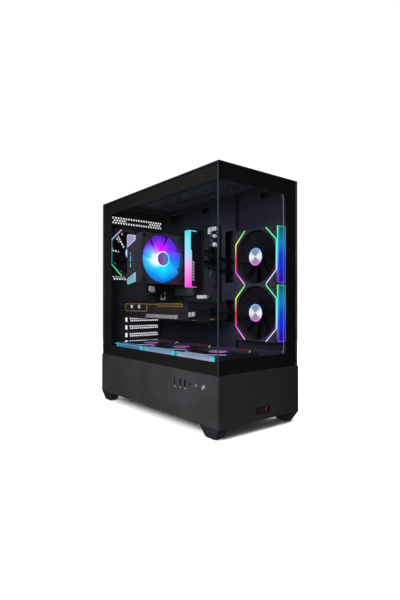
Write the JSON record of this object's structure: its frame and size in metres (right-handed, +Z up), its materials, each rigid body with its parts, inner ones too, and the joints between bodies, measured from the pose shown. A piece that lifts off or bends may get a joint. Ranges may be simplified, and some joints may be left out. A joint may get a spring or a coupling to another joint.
{
  "type": "desktop computer tower",
  "caption": "Desktop computer tower with glass front and left side over a steel base, lit fans, processor cooler, graphics card, memory and power supply inside.",
  "frame": {"origin": "centre of the overall box, on the floor under the tower", "axes": "+Z up; +X to the right as seen from the front; the front faces -Y; the glass side panel is on -X"},
  "size_m": [0.219, 0.45, 0.496],
  "materials": {
    "coated_steel": "fine textured powder coat",
    "tempered_glass": "polished, lightly tinted",
    "black_plastic": "moulded, fine spark texture",
    "rubber": "matt",
    "fan_blades": "satin moulded",
    "lit_blades": "frosted translucent, lit from the hub",
    "light_guide": "frosted, lit",
    "circuit_board": "solder mask",
    "anodised_black": "anodised",
    "bare_aluminium": "rolled",
    "plated_steel": "zinc plated",
    "copper": "nickel-flashed copper",
    "cable_sleeve": "ribbed sleeving"
  },
  "bodies": {
    "chassis": {"audio_jack": "black_plastic", "board_heatsinks": "anodised_black", "board_sockets": "black_plastic", "bottom_pan": "coated_steel", "card_backplate": "anodised_black", "card_bracket": "plated_steel", "card_circuit_board": "circuit_board", "card_heatsink": "bare_aluminium", "card_shroud": "black_plastic", "card_slot_covers": "coated_steel", "control_board": "circuit_board", "cooler_base": "copper", "cooler_cover": "black_plastic", "cooler_fan_frame": "black_plastic", "cooler_fins": "bare_aluminium", "fan_light_guides": "light_guide", "feet": "black_plastic", "floor_fan_frames": "black_plastic", "foot_pads": "rubber", "front_badge": "anodised_black", "front_base_panel": "coated_steel", "left_base_panel": "coated_steel", "mains_inlet": "black_plastic", "memory_light_bars": "light_guide", "memory_modules": "anodised_black", "memory_slots": "black_plastic", "motherboard": "circuit_board", "motherboard_tray": "coated_steel", "power_cables": "cable_sleeve", "power_supply_shroud": "coated_steel", "rear_connectors": "plated_steel", "rear_fan_frame": "black_plastic", "rear_panel": "coated_steel", "rear_screws": "plated_steel", "regulator_heatsinks": "anodised_black", "side_fan_frames": "black_plastic", "standoffs": "plated_steel", "supply_case": "coated_steel", "top_cover": "coated_steel", "usb_sockets": "plated_steel"},
    "left_glass": {"left_glass": "tempered_glass"},
    "front_glass": {"front_glass": "tempered_glass"},
    "right_side_panel": {"right_side_panel": "coated_steel"},
    "right_base_panel": {"right_base_panel": "coated_steel"},
    "top_dust_filter": {"top_dust_filter": "black_plastic"},
    "supply_dust_filter": {"supply_dust_filter": "black_plastic"},
    "power_button": {"power_button": "light_guide"},
    "reset_button": {"reset_button": "light_guide"},
    "supply_switch": {"supply_switch": "black_plastic"},
    "rear_fan_rotor": {"rear_fan_rotor": "fan_blades"},
    "side_fan_lower_rotor": {"side_fan_lower_rotor": "fan_blades"},
    "side_fan_upper_rotor": {"side_fan_upper_rotor": "fan_blades"},
    "floor_fan_rear_rotor": {"floor_fan_rear_rotor": "fan_blades"},
    "floor_fan_middle_rotor": {"floor_fan_middle_rotor": "fan_blades"},
    "floor_fan_front_rotor": {"floor_fan_front_rotor": "fan_blades"},
    "card_fan_rear_rotor": {"card_fan_rear_rotor": "fan_blades"},
    "card_fan_middle_rotor": {"card_fan_middle_rotor": "fan_blades"},
    "card_fan_front_rotor": {"card_fan_front_rotor": "fan_blades"},
    "supply_fan_rotor": {"supply_fan_rotor": "fan_blades"},
    "cooler_fan_rotor": {"cooler_fan_rotor": "lit_blades"}
  },
  "joints": [
    {"name": "left_glass_lift_off", "type": "slide", "parent": "chassis", "child": "left_glass", "axis": [-1, 0, 0], "range_m": [0, 0.12]},
    {"name": "front_glass_lift_off", "type": "slide", "parent": "chassis", "child": "front_glass", "axis": [0, -1, 0], "range_m": [0, 0.12]},
    {"name": "right_side_panel_lift_off", "type": "slide", "parent": "chassis", "child": "right_side_panel", "axis": [1, 0, 0], "range_m": [0, 0.12]},
    {"name": "right_base_panel_lift_off", "type": "slide", "parent": "chassis", "child": "right_base_panel", "axis": [1, 0, 0], "range_m": [0, 0.08]},
    {"name": "top_filter_lift_off", "type": "slide", "parent": "chassis", "child": "top_dust_filter", "axis": [0, 0, 1], "range_m": [0, 0.06]},
    {"name": "supply_filter_slide", "type": "slide", "parent": "chassis", "child": "supply_dust_filter", "axis": [0, 1, 0], "range_m": [0, 0.15]},
    {"name": "power_button_press", "type": "slide", "parent": "chassis", "child": "power_button", "axis": [1, 0, 0], "range_m": [0, 0.0015], "stiffness_N_per_m": 500, "springref_m": -0.001},
    {"name": "reset_button_press", "type": "slide", "parent": "chassis", "child": "reset_button", "axis": [1, 0, 0], "range_m": [0, 0.0012], "stiffness_N_per_m": 400, "springref_m": -0.001},
    {"name": "supply_switch_rock", "type": "hinge", "parent": "chassis", "child": "supply_switch", "pos_m": [0.05, 0.2181, 0.0896], "axis": [1, 0, 0], "range_deg": [0, 16]},
    {"name": "rear_fan_spin", "type": "hinge", "parent": "chassis", "child": "rear_fan_rotor", "pos_m": [-0.038, 0.2104, 0.372], "axis": [0, 1, 0], "continuous": true},
    {"name": "side_fan_lower_spin", "type": "hinge", "parent": "chassis", "child": "side_fan_lower_rotor", "pos_m": [0.0752, -0.1475, 0.222], "axis": [1, 0, 0], "continuous": true},
    {"name": "side_fan_upper_spin", "type": "hinge", "parent": "chassis", "child": "side_fan_upper_rotor", "pos_m": [0.0752, -0.1475, 0.342], "axis": [1, 0, 0], "continuous": true},
    {"name": "floor_fan_rear_spin", "type": "hinge", "parent": "chassis", "child": "floor_fan_rear_rotor", "pos_m": [-0.033, 0.112, 0.133], "axis": [0, 0, 1], "continuous": true},
    {"name": "floor_fan_middle_spin", "type": "hinge", "parent": "chassis", "child": "floor_fan_middle_rotor", "pos_m": [-0.033, -0.012, 0.133], "axis": [0, 0, 1], "continuous": true},
    {"name": "floor_fan_front_spin", "type": "hinge", "parent": "chassis", "child": "floor_fan_front_rotor", "pos_m": [-0.033, -0.136, 0.133], "axis": [0, 0, 1], "continuous": true},
    {"name": "cooler_fan_spin", "type": "hinge", "parent": "chassis", "child": "cooler_fan_rotor", "pos_m": [-0.028, 0.079, 0.3485], "axis": [0, 1, 0], "continuous": true},
    {"name": "card_fan_rear_spin", "type": "hinge", "parent": "chassis", "child": "card_fan_rear_rotor", "pos_m": [-0.004, 0.1625, 0.2135], "axis": [0, 0, 1], "continuous": true},
    {"name": "card_fan_middle_spin", "type": "hinge", "parent": "chassis", "child": "card_fan_middle_rotor", "pos_m": [-0.004, 0.0705, 0.2135], "axis": [0, 0, 1], "continuous": true},
    {"name": "card_fan_front_spin", "type": "hinge", "parent": "chassis", "child": "card_fan_front_rotor", "pos_m": [-0.004, -0.0215, 0.2135], "axis": [0, 0, 1], "continuous": true},
    {"name": "supply_fan_spin", "type": "hinge", "parent": "chassis", "child": "supply_fan_rotor", "pos_m": [-0.001, 0.1521, 0.0326], "axis": [0, 0, 1], "continuous": true}
  ]
}
